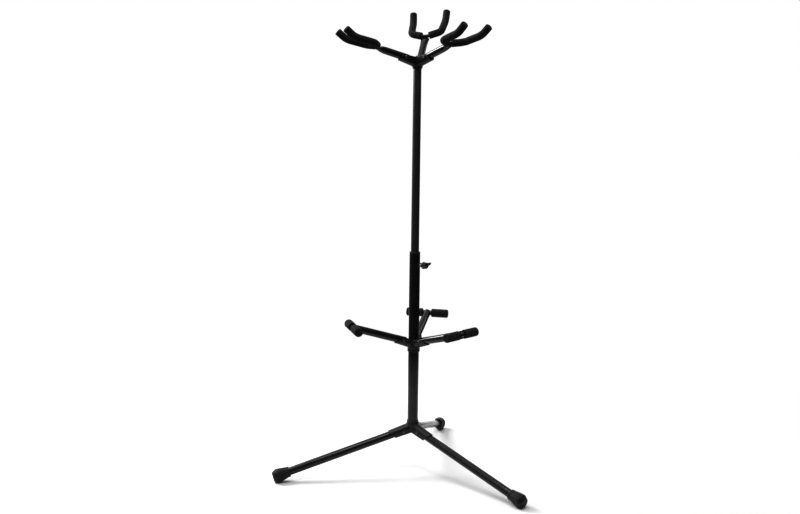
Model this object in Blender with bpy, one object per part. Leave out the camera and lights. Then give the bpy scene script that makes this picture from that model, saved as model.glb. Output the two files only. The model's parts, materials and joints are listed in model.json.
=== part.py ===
"""Three-place hanging guitar stand: a telescopic column on folding tripod legs.

Each of three sides has a folding body rest low on the column and a folding neck yoke on top.
World frame: metres, +Z up, floor at z = 0, rear leg along +Y, origin under the middle of the outline.
Each leg and arm is built with X along its tube, Y across it and its pivot at the origin.
"""

import math

import bmesh
import bpy
from mathutils import Matrix, Vector

MM = 0.001
GAP = 0.3 * MM  # clearance between pieces that touch
SIDES = {"front_left": 210, "front_right": 330, "rear": 90}  # azimuth of each side, degrees

# Facets round each kind of piece
COLUMN_SIDES, LEG_SIDES, BOOT_SIDES, CLAMP_SIDES = 24, 16, 20, 20
BAR_SIDES, ROD_SIDES, PIN_SIDES, RIVET_SIDES = 16, 12, 12, 10
BEND_STEP = math.radians(18)

# Column
TUBE_R, TUBE_BORE = 12.7 * MM, 11.2 * MM
TUBE_LOW, TUBE_HIGH = 103 * MM, 541 * MM
MAST_R, MAST_BORE = 9.525 * MM, 8.3 * MM
MAST_LOW, MAST_HIGH = 415 * MM, 998 * MM

# Legs: angle below the horizontal and reach of the foot's middle from the column's axis
LEG_R, LEG_BORE = 9.525 * MM, 8.1 * MM
LEG_TILT = math.radians(-15.75)
LEG_CROSSING = 109.35 * MM  # height where the legs' centre lines meet the column's axis
LEG_PIVOT = 27 * MM  # along the leg from the column's axis
LEG_REACH = 344.7 * MM
BOOT_R = 16.3 * MM

# Body rests
REST_R, REST_BORE = 9.1 * MM, 7.9 * MM
REST_TILT = math.radians(16.35)
REST_CROSSING = 320.6 * MM
REST_PIVOT = 28 * MM
REST_LIFT = {"front_left": 0, "front_right": 0, "rear": 0.7}  # how far each is held above its channel
REST_REACH = 156.0 * MM
BAR_R, BAR_BORE, BAR_HALF = 6.35 * MM, 5.2 * MM, 50.5 * MM
SLEEVE_R = 10.5 * MM
SLEEVE_START = {"front_left": 9.6 * MM, "front_right": 9.6 * MM, "rear": 12 * MM}
SLEEVE_END = 53.5 * MM

# Neck yokes: the channels hold an arm at YOKE_STOP, and stiff rivets hold two of them higher
YOKE_STOP = math.radians(16.1)
YOKE_TILT = {"front_left": 16.1, "front_right": 19.6, "rear": 45.3}
ROD_PITCH = {"front_left": -0.9, "front_right": -2.1, "rear": -7}  # how each rod was welded to its arm
ROD_ROLL = {"front_left": 0, "front_right": 0, "rear": -4}
ROD_YAW = {"front_left": 0, "front_right": 0, "rear": 1.1}
YOKE_R, YOKE_BORE = 8.4 * MM, 7.2 * MM
YOKE_CROSSING = 990.4 * MM
YOKE_PIVOT = 31 * MM
YOKE_REACH = 103.2 * MM
ROD_RISE = 4.4 * MM  # the rod lies on top of the arm's flattened tongue
ROD_R, FOAM_R = 4.0 * MM, 8.5 * MM
FOAM_START = {"front_left": 8.5 * MM, "front_right": 8.5 * MM, "rear": 10 * MM}
FOAM_CAP = 3 * MM

# Rivets and sheet-metal brackets
RIVET_R, RIVET_HOLE, RIVET_HEAD = 2.5 * MM, 2.8 * MM, 3.8 * MM
SHEET = 1.8 * MM
ARM_SLACK = 0.4 * MM
ARM_BACK = 4.4 * MM  # how far a tube runs past its pivot and still clears the channel as it folds
ARM_END_SLANT, REST_END_SLANT = 0.5, 0.25
WELD_GAP = 0.8 * MM  # between a rest arm's coped end and its crossbar

# Clamp screw on the lower tube
CLAMP_HEIGHT = 513.0 * MM
CLAMP_AZIMUTH = math.radians(335)
SCREW_R = 3.0 * MM
BOSS_R, BOSS_END = 5.5 * MM, 17 * MM
COLLAR_R, COLLAR_START, COLLAR_END = 5.2 * MM, 17.4 * MM, 24.3 * MM
WING_START, WING_END = 24.6 * MM, 37.5 * MM
WING_HALF = 15 * MM
WING_ROLL = math.radians(20)

FINISHES = {
    "gloss_black": ((0.012, 0.012, 0.013), 0.22, 0.0),
    "satin_black": ((0.016, 0.016, 0.017), 0.42, 0.0),
    "foam": ((0.018, 0.018, 0.019), 0.95, 0.0),
    "rubber": ((0.02, 0.02, 0.021), 0.6, 0.0),
    "plastic": ((0.022, 0.022, 0.023), 0.45, 0.0),
    "steel": ((0.55, 0.55, 0.56), 0.35, 1.0),
}


def clear_scene():
    for old in list(bpy.data.objects):
        bpy.data.objects.remove(old, do_unlink=True)


def finish(kind):
    """The finish's own material, made the first time that it is asked for."""
    made = bpy.data.materials.get(kind)
    if made:
        return made
    colour, roughness, metallic = FINISHES[kind]
    made = bpy.data.materials.new(kind)
    made.use_nodes = True
    shader = made.node_tree.nodes["Principled BSDF"]
    shader.inputs["Base Color"].default_value = (*colour, 1)
    shader.inputs["Roughness"].default_value = roughness
    shader.inputs["Metallic"].default_value = metallic
    made.diffuse_color = (*colour, 1)
    return made


def own_finish(name, kind):
    """A material of the node's own, copied from its finish."""
    own = finish(kind).copy()
    own.name = name + "_" + kind
    return own


def frame_empty(name, matrix, parent=None):
    empty = bpy.data.objects.new(name, None)
    bpy.context.scene.collection.objects.link(empty)
    empty.parent = parent
    empty.matrix_local = matrix
    return empty


def node(name, mesh, kind, parent, matrix=None):
    """One named piece of the stand."""
    mesh.name = name
    mesh.shade_smooth()
    mesh.set_sharp_from_angle(angle=math.radians(32))
    piece = bpy.data.objects.new(name, mesh)
    bpy.context.scene.collection.objects.link(piece)
    mesh.materials.clear()
    mesh.materials.append(own_finish(name, kind))
    piece.parent = parent
    piece.matrix_local = matrix if matrix else Matrix.Identity(4)
    return piece


def skin(rings, closed=False):
    """A mesh through rings of equal size; closed joins the last ring to the first."""
    bm = bmesh.new()
    made = [[bm.verts.new(p) for p in ring] for ring in rings]
    count = len(made[0])
    pairs = list(zip(made, made[1:]))
    if closed:
        pairs.append((made[-1], made[0]))
    else:
        bm.faces.new(made[0])
        bm.faces.new(made[-1])
    for one, two in pairs:
        for i in range(count):
            j = (i + 1) % count
            bm.faces.new((one[i], one[j], two[j], two[i]))
    bmesh.ops.recalc_face_normals(bm, faces=bm.faces)
    mesh = bpy.data.meshes.new("skin")
    bm.to_mesh(mesh)
    bm.free()
    return mesh


def ellipse(centre, across, up, half_width, half_height, count):
    points = []
    for i in range(count):
        a = 2 * math.pi * i / count
        offset = across * (half_width * math.cos(a)) + up * (half_height * math.sin(a))
        points.append(Vector(centre) + offset)
    return points


X, Y, Z = Vector((1, 0, 0)), Vector((0, 1, 0)), Vector((0, 0, 1))


def turned(profile, count, axis=Z, across=X, closed=True):
    """A body turned about axis from (radius, height) pairs; a closed profile makes a ring."""
    up = axis.cross(across)
    rings = [ellipse(axis * h, across, up, r, r, count) for r, h in profile]
    return skin(rings, closed)


def tube_profile(outer, inner, low, high):
    return [(outer, low), (outer, high), (inner, high), (inner, low)]


def evaluated(piece):
    graph = bpy.context.evaluated_depsgraph_get()
    return bpy.data.meshes.new_from_object(piece.evaluated_get(graph))


def combined(mesh, steps):
    """The mesh after a chain of (operation, mesh) Boolean steps."""
    base = bpy.data.objects.new("base", mesh)
    bpy.context.scene.collection.objects.link(base)
    tools = []
    for number, (operation, shape) in enumerate(steps):
        tool = bpy.data.objects.new(f"tool_{number}", shape)
        bpy.context.scene.collection.objects.link(tool)
        tool.hide_render = True
        tool.display_type = "WIRE"
        step = base.modifiers.new(f"step_{number}", "BOOLEAN")
        step.operation = operation
        step.object = tool
        step.solver = "EXACT"
        tools.append(tool)
    result = evaluated(base)
    for spare in [base, *tools]:
        bpy.data.objects.remove(spare, do_unlink=True)
    return result


def moved(mesh, matrix):
    copy = mesh.copy()
    copy.transform(matrix)
    return copy


def rod_mesh(radius, start, end, axis, count=CLAMP_SIDES):
    """A solid cylinder along axis from start to end."""
    across = Z if abs(axis.z) < 0.5 else X
    return turned([(radius, start), (radius, end)], count, axis, across, closed=False)


def radial(azimuth, tilt=0.0, crossing=0.0, reach=0.0, roll=0.0):
    """A frame with X along an arm, placed reach along it from the column's axis."""
    turn = Matrix.Rotation(azimuth, 4, "Z") @ Matrix.Rotation(-tilt, 4, "Y")
    roll_turn = Matrix.Rotation(roll, 4, "X")
    return Matrix.Translation(Z * crossing) @ turn @ Matrix.Translation(X * reach) @ roll_turn


# ---------------------------------------------------------------- brackets


def channel(width, tilt, opens, start, web_end, wall_end, sag, rims, floor):
    """A solid with a round floor and straight walls that runs out along an arm.

    opens is 1 for a channel open upward and -1 for one open downward. The floor drops by sag
    towards the column, rims are the wall heights at both ends, floor the depth at the outer end.
    """
    arc = 8

    def section(drop, rim):
        curve = []
        for i in range(arc + 1):
            a = math.pi * i / arc
            curve.append((width * math.cos(a), -drop - (floor - width) - width * math.sin(a)))
        return [(width, rim), *curve, (-width, rim)]

    def outer_x(height, rim):
        share = (height + floor) / (rim + floor)
        return web_end + (wall_end - web_end) * min(max(share, 0), 1)

    inner = [Vector((start, y, z)) for y, z in section(sag, rims[0])]
    outer = [Vector((outer_x(z, rims[1]), y, z)) for y, z in section(0, rims[1])]
    mesh = skin([inner, outer])
    if opens < 0:
        mesh.transform(Matrix.Scale(-1, 4, Z))
        mesh.flip_normals()
    mesh.transform(Matrix.Rotation(-tilt, 4, "Y"))
    return mesh


def hub_mesh(spec):
    """A pressed bracket round the column with one channel for each side.

    "deep" lowers the channel's web beyond a plain half round that fits the arm.
    """
    arm = spec["arm"]
    inner_w = arm + ARM_SLACK
    outer_w = inner_w + SHEET
    opens, tilt = spec["opens"], spec["tilt"]
    post = turned(
        [
            (spec["collar"], spec["collar_end"] * opens),
            (spec["collar"], spec["collar_top"] * opens),
            (spec["post"], spec["shoulder"] * opens),
            (spec["post"], spec["rim"] * opens),
        ],
        COLUMN_SIDES,
        closed=False,
    )
    web, sag = spec["web"], spec["sag"]
    deep = spec["deep"]
    outer = channel(outer_w, tilt, opens, 2 * MM, web, spec["wall"], sag, spec["rims"], outer_w + deep)
    beyond, above = web + 20 * MM, 60 * MM
    pocket = channel(
        inner_w, tilt, opens, spec["pocket"], beyond, beyond,
        sag * 1.25, (above, above), inner_w - sag * 0.35 + deep * 0.8,
    )
    pin = rod_mesh(RIVET_HOLE, -30 * MM, 30 * MM, Y, PIN_SIDES)
    pin.transform(Matrix.Rotation(-tilt, 4, "Y") @ Matrix.Translation(X * spec["pivot"]))
    steps = []
    for azimuth in SIDES.values():
        steps.append(("UNION", moved(outer, Matrix.Rotation(math.radians(azimuth), 4, "Z"))))
    for azimuth in SIDES.values():
        turn = Matrix.Rotation(math.radians(azimuth), 4, "Z")
        steps.append(("DIFFERENCE", moved(pocket, turn)))
        steps.append(("DIFFERENCE", moved(pin, turn)))
    steps.append(("DIFFERENCE", rod_mesh(spec["bore"], -60 * MM, 60 * MM, Z, COLUMN_SIDES)))
    return combined(post, steps)


def hub_specs():
    """The three brackets; heights run from the arms' crossing towards the open side."""
    column_bore = TUBE_R + GAP
    return {
        "base_hub": {
            "arm": LEG_R,
            "tilt": LEG_TILT,
            "opens": -1,
            "collar": 14.2 * MM,
            "collar_end": -18.5 * MM,
            "collar_top": -13.5 * MM,
            "post": 15.2 * MM,
            "shoulder": -11 * MM,
            "rim": 8.4 * MM,
            "web": 62 * MM,
            "wall": 50 * MM,
            "sag": 2.4 * MM,
            "deep": 0,
            "rims": (8.8 * MM, 8.0 * MM),
            "pocket": 15.6 * MM,
            "pivot": LEG_PIVOT,
            "bore": column_bore,
        },
        "mid_hub": {
            "arm": REST_R,
            "tilt": REST_TILT,
            "opens": 1,
            "collar": 14.7 * MM,
            "collar_end": -21 * MM,
            "collar_top": -13 * MM,
            "post": 15.2 * MM,
            "shoulder": -10 * MM,
            "rim": 9 * MM,
            "web": 48 * MM,
            "wall": 37.5 * MM,
            "sag": 3.3 * MM,
            "deep": 0,
            "rims": (8 * MM, 1.5 * MM),
            "pocket": 15.6 * MM,
            "pivot": REST_PIVOT,
            "bore": column_bore,
        },
        "top_hub": {
            "arm": YOKE_R,
            "tilt": YOKE_STOP,
            "opens": 1,
            "collar": 11.6 * MM,
            "collar_end": -16.6 * MM,
            "collar_top": -13.2 * MM,
            "post": 13.6 * MM,
            "shoulder": -9 * MM,
            "rim": 9 * MM,
            "web": 46 * MM,
            "wall": 38.5 * MM,
            "sag": 3.3 * MM,
            "deep": 1.2 * MM,
            "rims": (8 * MM, 5 * MM),
            "pocket": 14 * MM,
            "pivot": YOKE_PIVOT,
            "bore": MAST_R + GAP,
        },
    }


def rivet_mesh(half_grip):
    """A domed rivet along Y; half_grip is from its middle to the underside of each head."""
    head = 1.8 * MM
    half = [(RIVET_R, half_grip), (RIVET_HEAD, half_grip), (RIVET_HEAD, half_grip + 0.5 * head)]
    half += [(RIVET_HEAD * 0.6, half_grip + head)]
    profile = [(r, -h) for r, h in reversed(half)] + half
    return turned(profile, RIVET_SIDES, Y, Z, closed=False)


# ---------------------------------------------------------------- tubes with shaped ends


def arm_tube(radius, bore, outer_rings, inner_rings, slant=0.0):
    """A tube's rings from its inner end outwards, as (x, half width, half height, centre height).

    The inner end is cut straight below the centre line, and leans back by slant above it.
    """

    def end_ring(r):
        ring = ellipse((0, 0, 0), Y, Z, r, r, LEG_SIDES)
        for point in ring:
            point.x = -ARM_BACK - slant * max(point.z, 0)
        return ring

    def listed(first, rings):
        return [end_ring(first)] + [ellipse((x, 0, z), Y, Z, w, h, LEG_SIDES) for x, w, h, z in rings]

    return listed(radius, outer_rings), listed(bore, inner_rings)


def drilled(mesh):
    """The tube with a cross hole for its rivet."""
    hole = rod_mesh(RIVET_HOLE, -20 * MM, 20 * MM, Y, PIN_SIDES)
    return combined(mesh, [("DIFFERENCE", hole)])


def leg_mesh():
    end = LEG_REACH - LEG_PIVOT + 1.5 * MM
    start = 4 * MM
    outer, inner = arm_tube(
        LEG_R, LEG_BORE, [(start, LEG_R, LEG_R, 0), (end, LEG_R, LEG_R, 0)],
        [(start, LEG_BORE, LEG_BORE, 0), (end, LEG_BORE, LEG_BORE, 0)],
    )
    return drilled(skin(outer + inner[::-1], closed=True))


def boot_mesh():
    """A flared rubber boot over the leg's end, flat where it stands on the floor."""
    middle = LEG_REACH - LEG_PIVOT
    bore = LEG_R + GAP
    profile = [
        (bore, 2.2 * MM), (bore, -28 * MM),
        (11.8 * MM, -28 * MM), (12.5 * MM, -27 * MM), (14.4 * MM, -12 * MM),
        (BOOT_R, 0), (BOOT_R, 3 * MM), (11.6 * MM, 12.2 * MM), (10.4 * MM, 13 * MM),
    ]
    mesh = turned(profile, BOOT_SIDES, X, Z, closed=False)
    mesh.transform(Matrix.Translation(X * middle))
    floor = bpy.data.meshes.new("floor")
    bm = bmesh.new()
    bmesh.ops.create_cube(bm, size=80 * MM)
    bm.to_mesh(floor)
    bm.free()
    foot_height = LEG_CROSSING + math.sin(LEG_TILT) * LEG_REACH
    floor.transform(
        Matrix.Translation(X * middle)
        @ Matrix.Rotation(LEG_TILT, 4, "Y")
        @ Matrix.Translation(-Z * (foot_height + 40 * MM))
    )
    return combined(mesh, [("DIFFERENCE", floor)])


def rest_arm_mesh():
    """A support arm whose outer end is coped to fit the crossbar."""
    length = REST_REACH - REST_PIVOT
    saddle = BAR_R + WELD_GAP
    start, end = 4 * MM, length - 14 * MM
    outer, inner = arm_tube(
        REST_R, REST_BORE, [(start, REST_R, REST_R, 0), (end, REST_R, REST_R, 0)],
        [(start, REST_BORE, REST_BORE, 0), (end, REST_BORE, REST_BORE, 0)], REST_END_SLANT,
    )
    for rings, r in ((outer, REST_R), (inner, REST_BORE)):
        ring = ellipse((0, 0, 0), Y, Z, r, r, LEG_SIDES)
        for point in ring:
            point.x = length - math.sqrt(max(saddle * saddle - point.z * point.z, 0))
        rings.append(ring)
    return drilled(skin(outer + inner[::-1], closed=True))


def yoke_arm_mesh():
    """A yoke arm, pressed at its outer end into a tongue that passes under the rod."""
    middle = YOKE_REACH - YOKE_PIVOT
    taper = [(-30, 8.4, 8.4, 0), (-20, 8.8, 8.2, 0), (-12, 9.5, 7.2, -0.2), (-8, 10, 5.6, -0.6)]
    taper += [(-5, 10.1, 4, -1.2), (-3, 9.8, 3, -2), (-1, 9, 2.3, -2.2), (2, 7.2, 1.9, -2.2)]
    hollow = [(-30, 7.2, 7.2, 0), (-20, 7.6, 7, 0), (-12, 8.2, 5.9, -0.2), (-9, 8.5, 4.4, -0.5)]

    def placed(rings):
        return [(middle + x * MM, w * MM, h * MM, z * MM) for x, w, h, z in rings]

    outer, inner = arm_tube(
        YOKE_R, YOKE_BORE, [(4 * MM, YOKE_R, YOKE_R, 0)] + placed(taper),
        [(4 * MM, YOKE_BORE, YOKE_BORE, 0)] + placed(hollow), ARM_END_SLANT,
    )
    return drilled(skin(inner[::-1] + outer))


# ---------------------------------------------------------------- bent rods and foam


def rounded_path(corners, radii, step):
    """Points along straight runs joined by arcs; radii are for the inner corners."""
    points = [Vector(corners[0])]
    for before, corner, after, radius in zip(corners, corners[1:], corners[2:], radii):
        corner = Vector(corner)
        back = (Vector(before) - corner).normalized()
        ahead = (Vector(after) - corner).normalized()
        turn = math.pi - back.angle(ahead)
        reach = radius * math.tan(turn / 2)
        middle = corner + (back + ahead).normalized() * (radius / math.cos(turn / 2))
        first = (corner + back * reach - middle).normalized()
        last = (corner + ahead * reach - middle).normalized()
        count = max(2, round(turn / step))
        for i in range(count + 1):
            points.append(middle + first.slerp(last, i / count) * radius)
    points.append(Vector(corners[-1]))
    return points


def yoke_corners():
    """Corners of half a yoke's centre line, from its middle to its tip."""
    listed = [(0, 0, 0), (0, 5, 0), (15, 36.5, 0), (64, 40.4, 0), (88.6, 41.9, 12.7)]
    return [Vector(p) * MM for p in listed], [10 * MM, 15 * MM, 45 * MM]


def lengths(path):
    run = [0.0]
    for one, two in zip(path, path[1:]):
        run.append(run[-1] + (two - one).length)
    return run


def along(path, run, distance):
    """The point at a distance along the path and the path's direction there."""
    for i in range(len(path) - 1):
        if distance <= run[i + 1] or i == len(path) - 2:
            direction = (path[i + 1] - path[i]).normalized()
            return path[i] + direction * (distance - run[i]), direction
    return path[-1], direction


def swept(path, stations, count):
    """Rings round the path at (distance, radius) stations, without twist."""
    run = lengths(path)
    rings = []
    across = None
    for distance, radius in stations:
        centre, direction = along(path, run, distance)
        if across is None:
            across = Z.cross(direction).normalized()
        else:
            across = (across - direction * across.dot(direction)).normalized()
        rings.append(ellipse(centre, across, direction.cross(across), radius, radius, count))
    return rings


def middle_distances(path, start, end, spacing):
    """Distances of the path's own points strictly between start and end."""
    return [d for d in lengths(path) if start + spacing < d < end - spacing]


def half_yoke_path(side):
    corners, radii = yoke_corners()
    path = rounded_path(corners, radii, BEND_STEP)
    return [Vector((p.x, p.y * side, p.z)) for p in path]


def yoke_rod_mesh():
    """The bent rod, tip to tip."""
    right, left = half_yoke_path(-1), half_yoke_path(1)
    path = right[::-1] + left[1:]
    total = lengths(path)[-1]
    cap = FOAM_CAP + GAP
    stations = [(cap, ROD_R)]
    stations += [(d, ROD_R) for d in middle_distances(path, cap, total - cap, 3 * MM)]
    stations += [(total - cap, ROD_R)]
    return skin(swept(path, stations, ROD_SIDES))


def yoke_foam_mesh(side, start):
    """A foam sleeve over half the yoke, closed over the rod's tip."""
    path = half_yoke_path(side)
    total = lengths(path)[-1]
    bore = ROD_R + GAP
    between = middle_distances(path, start, total - FOAM_CAP, 3 * MM)
    inner = [(total - FOAM_CAP, bore)] + [(d, bore) for d in reversed(between)] + [(start, bore)]
    outer = [(start, FOAM_R)] + [(d, FOAM_R) for d in between]
    outer += [(total - 1.6 * MM, FOAM_R), (total, FOAM_R - 1.8 * MM)]
    inner_rings = swept(path, inner[::-1], ROD_SIDES)[::-1]
    return skin(inner_rings + swept(path, outer, ROD_SIDES))


def rest_sleeve_mesh(side, start):
    """A foam sleeve on the crossbar, closed at its outer end."""
    bore = BAR_R + GAP
    profile = [
        (bore, BAR_HALF + GAP), (bore, start),
        (SLEEVE_R, start), (SLEEVE_R, SLEEVE_END - 1.6 * MM), (SLEEVE_R - 1.8 * MM, SLEEVE_END),
    ]
    return turned([(r, h * side) for r, h in profile], BAR_SIDES, Y, Z, closed=False)


# ---------------------------------------------------------------- clamp screw


def boss_mesh():
    """A threaded boss whose inner end is saddled to the lower tube; X is the screw's axis."""
    profile = [(BOSS_R, 4 * MM), (BOSS_R, BOSS_END - 1 * MM), (BOSS_R - 1 * MM, BOSS_END)]
    profile += [(SCREW_R + GAP, BOSS_END), (SCREW_R + GAP, 4 * MM)]
    boss = turned(profile, CLAMP_SIDES, X, Z)
    saddle = rod_mesh(TUBE_R + GAP, -20 * MM, 20 * MM, Z, COLUMN_SIDES)
    return combined(boss, [("DIFFERENCE", saddle)])


def wing_mesh():
    """The winged head, which grips the screw's outer end; X is the screw's axis."""
    hub = turned(
        [
            (7.6 * MM, WING_START), (8.0 * MM, WING_START + 1 * MM), (7.4 * MM, WING_END - 2 * MM),
            (6.2 * MM, WING_END), (0.6 * MM, WING_END + 0.4 * MM),
        ],
        CLAMP_SIDES, X, Z, closed=False,
    )
    rings = []
    half = 2.1 * MM
    bevel = 1 * MM
    half_plan = [(1, 31, 39), (0.8, 27, 40.5), (0.4, 26, 39)]
    plan = [(-share, low, high) for share, low, high in half_plan] + half_plan[::-1]
    for share, inner_x, outer_x in plan:
        y = share * WING_HALF
        low, high = inner_x * MM, outer_x * MM
        outline = [
            (low, -half + bevel), (low + bevel, -half), (high - bevel, -half), (high, -half + bevel),
            (high, half - bevel), (high - bevel, half), (low + bevel, half), (low, half - bevel),
        ]
        rings.append([Vector((x, y, z)) for x, z in outline])
    wing = skin(rings)
    socket = rod_mesh(SCREW_R + GAP, 10 * MM, 34 * MM, X)
    return combined(hub, [("UNION", wing), ("DIFFERENCE", socket)])


# ---------------------------------------------------------------- groups of pieces


def build_column(root):
    tube = turned(tube_profile(TUBE_R, TUBE_BORE, TUBE_LOW, TUBE_HIGH), COLUMN_SIDES)
    clamp_frame = radial(CLAMP_AZIMUTH, crossing=CLAMP_HEIGHT)
    hole = moved(rod_mesh(SCREW_R + GAP, 5 * MM, 20 * MM, X), clamp_frame)
    node("lower_tube", combined(tube, [("DIFFERENCE", hole)]), "gloss_black", root)
    plug = [
        (12.4 * MM, TUBE_LOW - GAP - 2.4 * MM), (12.6 * MM, TUBE_LOW - GAP - 1.8 * MM),
        (12.6 * MM, TUBE_LOW - GAP), (TUBE_BORE - GAP, TUBE_LOW - GAP),
        (TUBE_BORE - GAP, TUBE_LOW + 8 * MM),
    ]
    node("tube_end_plug", turned(plug, COLUMN_SIDES, closed=False), "plastic", root)
    bore = MAST_R + GAP
    bushing = [
        (bore, TUBE_HIGH - 22 * MM), (TUBE_BORE - GAP, TUBE_HIGH - 22 * MM),
        (TUBE_BORE - GAP, TUBE_HIGH + GAP), (12.7 * MM, TUBE_HIGH + GAP),
        (12.9 * MM, TUBE_HIGH + 0.9 * MM), (12.6 * MM, TUBE_HIGH + 2.1 * MM),
        (11.7 * MM, TUBE_HIGH + 2.6 * MM), (bore, TUBE_HIGH + 2.6 * MM),
    ]
    node("mast_bushing", turned(bushing, COLUMN_SIDES), "plastic", root)


def build_mast(root):
    mast = frame_empty("mast_axis", Matrix.Translation(Z * MAST_LOW), root)
    height = MAST_HIGH - MAST_LOW
    tube = turned(tube_profile(MAST_R, MAST_BORE, 0, height), COLUMN_SIDES)
    node("mast_tube", tube, "gloss_black", mast)
    guide = [
        (TUBE_BORE - GAP, -GAP), (TUBE_BORE - GAP, -5 * MM), (10 * MM, -6 * MM),
        (3 * MM, -6 * MM), (3 * MM, 12 * MM), (MAST_BORE - GAP, 12 * MM), (MAST_BORE - GAP, -GAP),
    ]
    node("mast_guide", turned(guide, COLUMN_SIDES), "plastic", mast)
    cap = [
        (MAST_BORE - GAP, height - 10 * MM), (MAST_BORE - GAP, height + GAP),
        (MAST_R - 0.1 * MM, height + GAP), (MAST_R - 0.2 * MM, height + 1.6 * MM),
        (7.5 * MM, height + 2.8 * MM), (3 * MM, height + 3.3 * MM),
    ]
    node("mast_cap", turned(cap, COLUMN_SIDES, closed=False), "plastic", mast)
    return mast


def build_hubs(root, mast):
    heights = {"base_hub": LEG_CROSSING, "mid_hub": REST_CROSSING, "top_hub": YOKE_CROSSING - MAST_LOW}
    parents = {"base_hub": root, "mid_hub": root, "top_hub": mast}
    for name, spec in hub_specs().items():
        place = Matrix.Translation(Z * heights[name])
        node(name, hub_mesh(spec), "satin_black", parents[name], place)


def rivet_grip(arm):
    return arm + ARM_SLACK + SHEET + GAP


def build_legs(root):
    leg, boot, rivet = leg_mesh(), boot_mesh(), rivet_mesh(rivet_grip(LEG_R))
    for side, azimuth in SIDES.items():
        place = radial(math.radians(azimuth), LEG_TILT, LEG_CROSSING, LEG_PIVOT)
        pivot = frame_empty(f"{side}_leg_pivot", place, root)
        node(f"{side}_leg", leg.copy(), "gloss_black", pivot)
        node(f"{side}_foot", boot.copy(), "rubber", pivot)
        node(f"{side}_leg_rivet", rivet.copy(), "steel", root, place)


def build_rests(root):
    arm, rivet = rest_arm_mesh(), rivet_mesh(rivet_grip(REST_R))
    bar = turned(tube_profile(BAR_R, BAR_BORE, -BAR_HALF, BAR_HALF), BAR_SIDES, Y, Z)
    at_bar = Matrix.Translation(X * (REST_REACH - REST_PIVOT))
    for side, azimuth in SIDES.items():
        place = radial(math.radians(azimuth), REST_TILT, REST_CROSSING, REST_PIVOT)
        lift = Matrix.Rotation(-math.radians(REST_LIFT[side]), 4, "Y")
        pivot = frame_empty(f"{side}_rest_pivot", place @ lift, root)
        node(f"{side}_rest_arm", arm.copy(), "gloss_black", pivot)
        node(f"{side}_rest_bar", bar.copy(), "gloss_black", pivot, at_bar)
        node(f"{side}_rest_rivet", rivet.copy(), "steel", root, place)
        for hand, sign in (("left", 1), ("right", -1)):
            sleeve = rest_sleeve_mesh(sign, SLEEVE_START[side])
            node(f"{side}_rest_sleeve_{hand}", sleeve, "foam", pivot, at_bar)


def build_yokes(mast):
    arm, rod, rivet = yoke_arm_mesh(), yoke_rod_mesh(), rivet_mesh(rivet_grip(YOKE_R))
    for side, azimuth in SIDES.items():
        turn = math.radians(azimuth)
        channel_line = radial(turn, YOKE_STOP, YOKE_CROSSING - MAST_LOW, YOKE_PIVOT)
        point = channel_line.to_translation()
        tilt = math.radians(YOKE_TILT[side])
        place = Matrix.Translation(point) @ radial(turn, tilt)
        pivot = frame_empty(f"{side}_yoke_pivot", place, mast)
        yaw, pitch, roll = (math.radians(a[side]) for a in (ROD_YAW, ROD_PITCH, ROD_ROLL))
        at_rod = Matrix.Translation((YOKE_REACH - YOKE_PIVOT, 0, ROD_RISE)) @ radial(yaw, pitch, roll=roll)
        node(f"{side}_yoke_arm", arm.copy(), "gloss_black", pivot)
        node(f"{side}_yoke_rod", rod.copy(), "satin_black", pivot, at_rod)
        node(f"{side}_yoke_rivet", rivet.copy(), "steel", mast, channel_line)
        for hand, sign in (("left", 1), ("right", -1)):
            foam = yoke_foam_mesh(sign, FOAM_START[side])
            node(f"{side}_yoke_foam_{hand}", foam, "foam", pivot, at_rod)


def build_clamp(root):
    place = radial(CLAMP_AZIMUTH, crossing=CLAMP_HEIGHT)
    node("clamp_boss", boss_mesh(), "gloss_black", root, place)
    screw = frame_empty("clamp_axis", place, root)
    tip = MAST_R + GAP
    profile = [
        (2.2 * MM, tip), (SCREW_R, tip + 1 * MM), (SCREW_R, COLLAR_START), (COLLAR_R, COLLAR_START),
        (COLLAR_R, COLLAR_END), (SCREW_R, COLLAR_END), (SCREW_R, 33 * MM), (2.4 * MM, 33.7 * MM),
    ]
    node("clamp_screw", turned(profile, CLAMP_SIDES, X, Z, closed=False), "steel", screw)
    roll = Matrix.Rotation(WING_ROLL, 4, "X")
    node("clamp_wing", wing_mesh(), "plastic", screw, roll)


def centre_on_floor(root):
    """Moves the stand so that the origin lies under the middle of its outline."""
    bpy.context.view_layer.update()
    corners = [
        piece.matrix_world @ vertex.co
        for piece in bpy.data.objects
        if piece.type == "MESH"
        for vertex in piece.data.vertices
    ]
    for axis in (0, 1):
        values = [corner[axis] for corner in corners]
        root.location[axis] = -(min(values) + max(values)) / 2
    bpy.context.view_layer.update()


def main():
    clear_scene()
    root = frame_empty("stand", Matrix.Identity(4))
    build_column(root)
    mast = build_mast(root)
    build_hubs(root, mast)
    build_legs(root)
    build_rests(root)
    build_yokes(mast)
    build_clamp(root)
    centre_on_floor(root)


main()
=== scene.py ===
"""Looks for the three-place hanging guitar stand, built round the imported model.

Metres, +Z up, the row's own frame. A piece is built in a local frame with X along it, Y across it
and its joint at the origin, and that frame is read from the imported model's joints and nodes.
"""

import json
import math

import bmesh
import bpy
from mathutils import Matrix, Vector, noise

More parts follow.
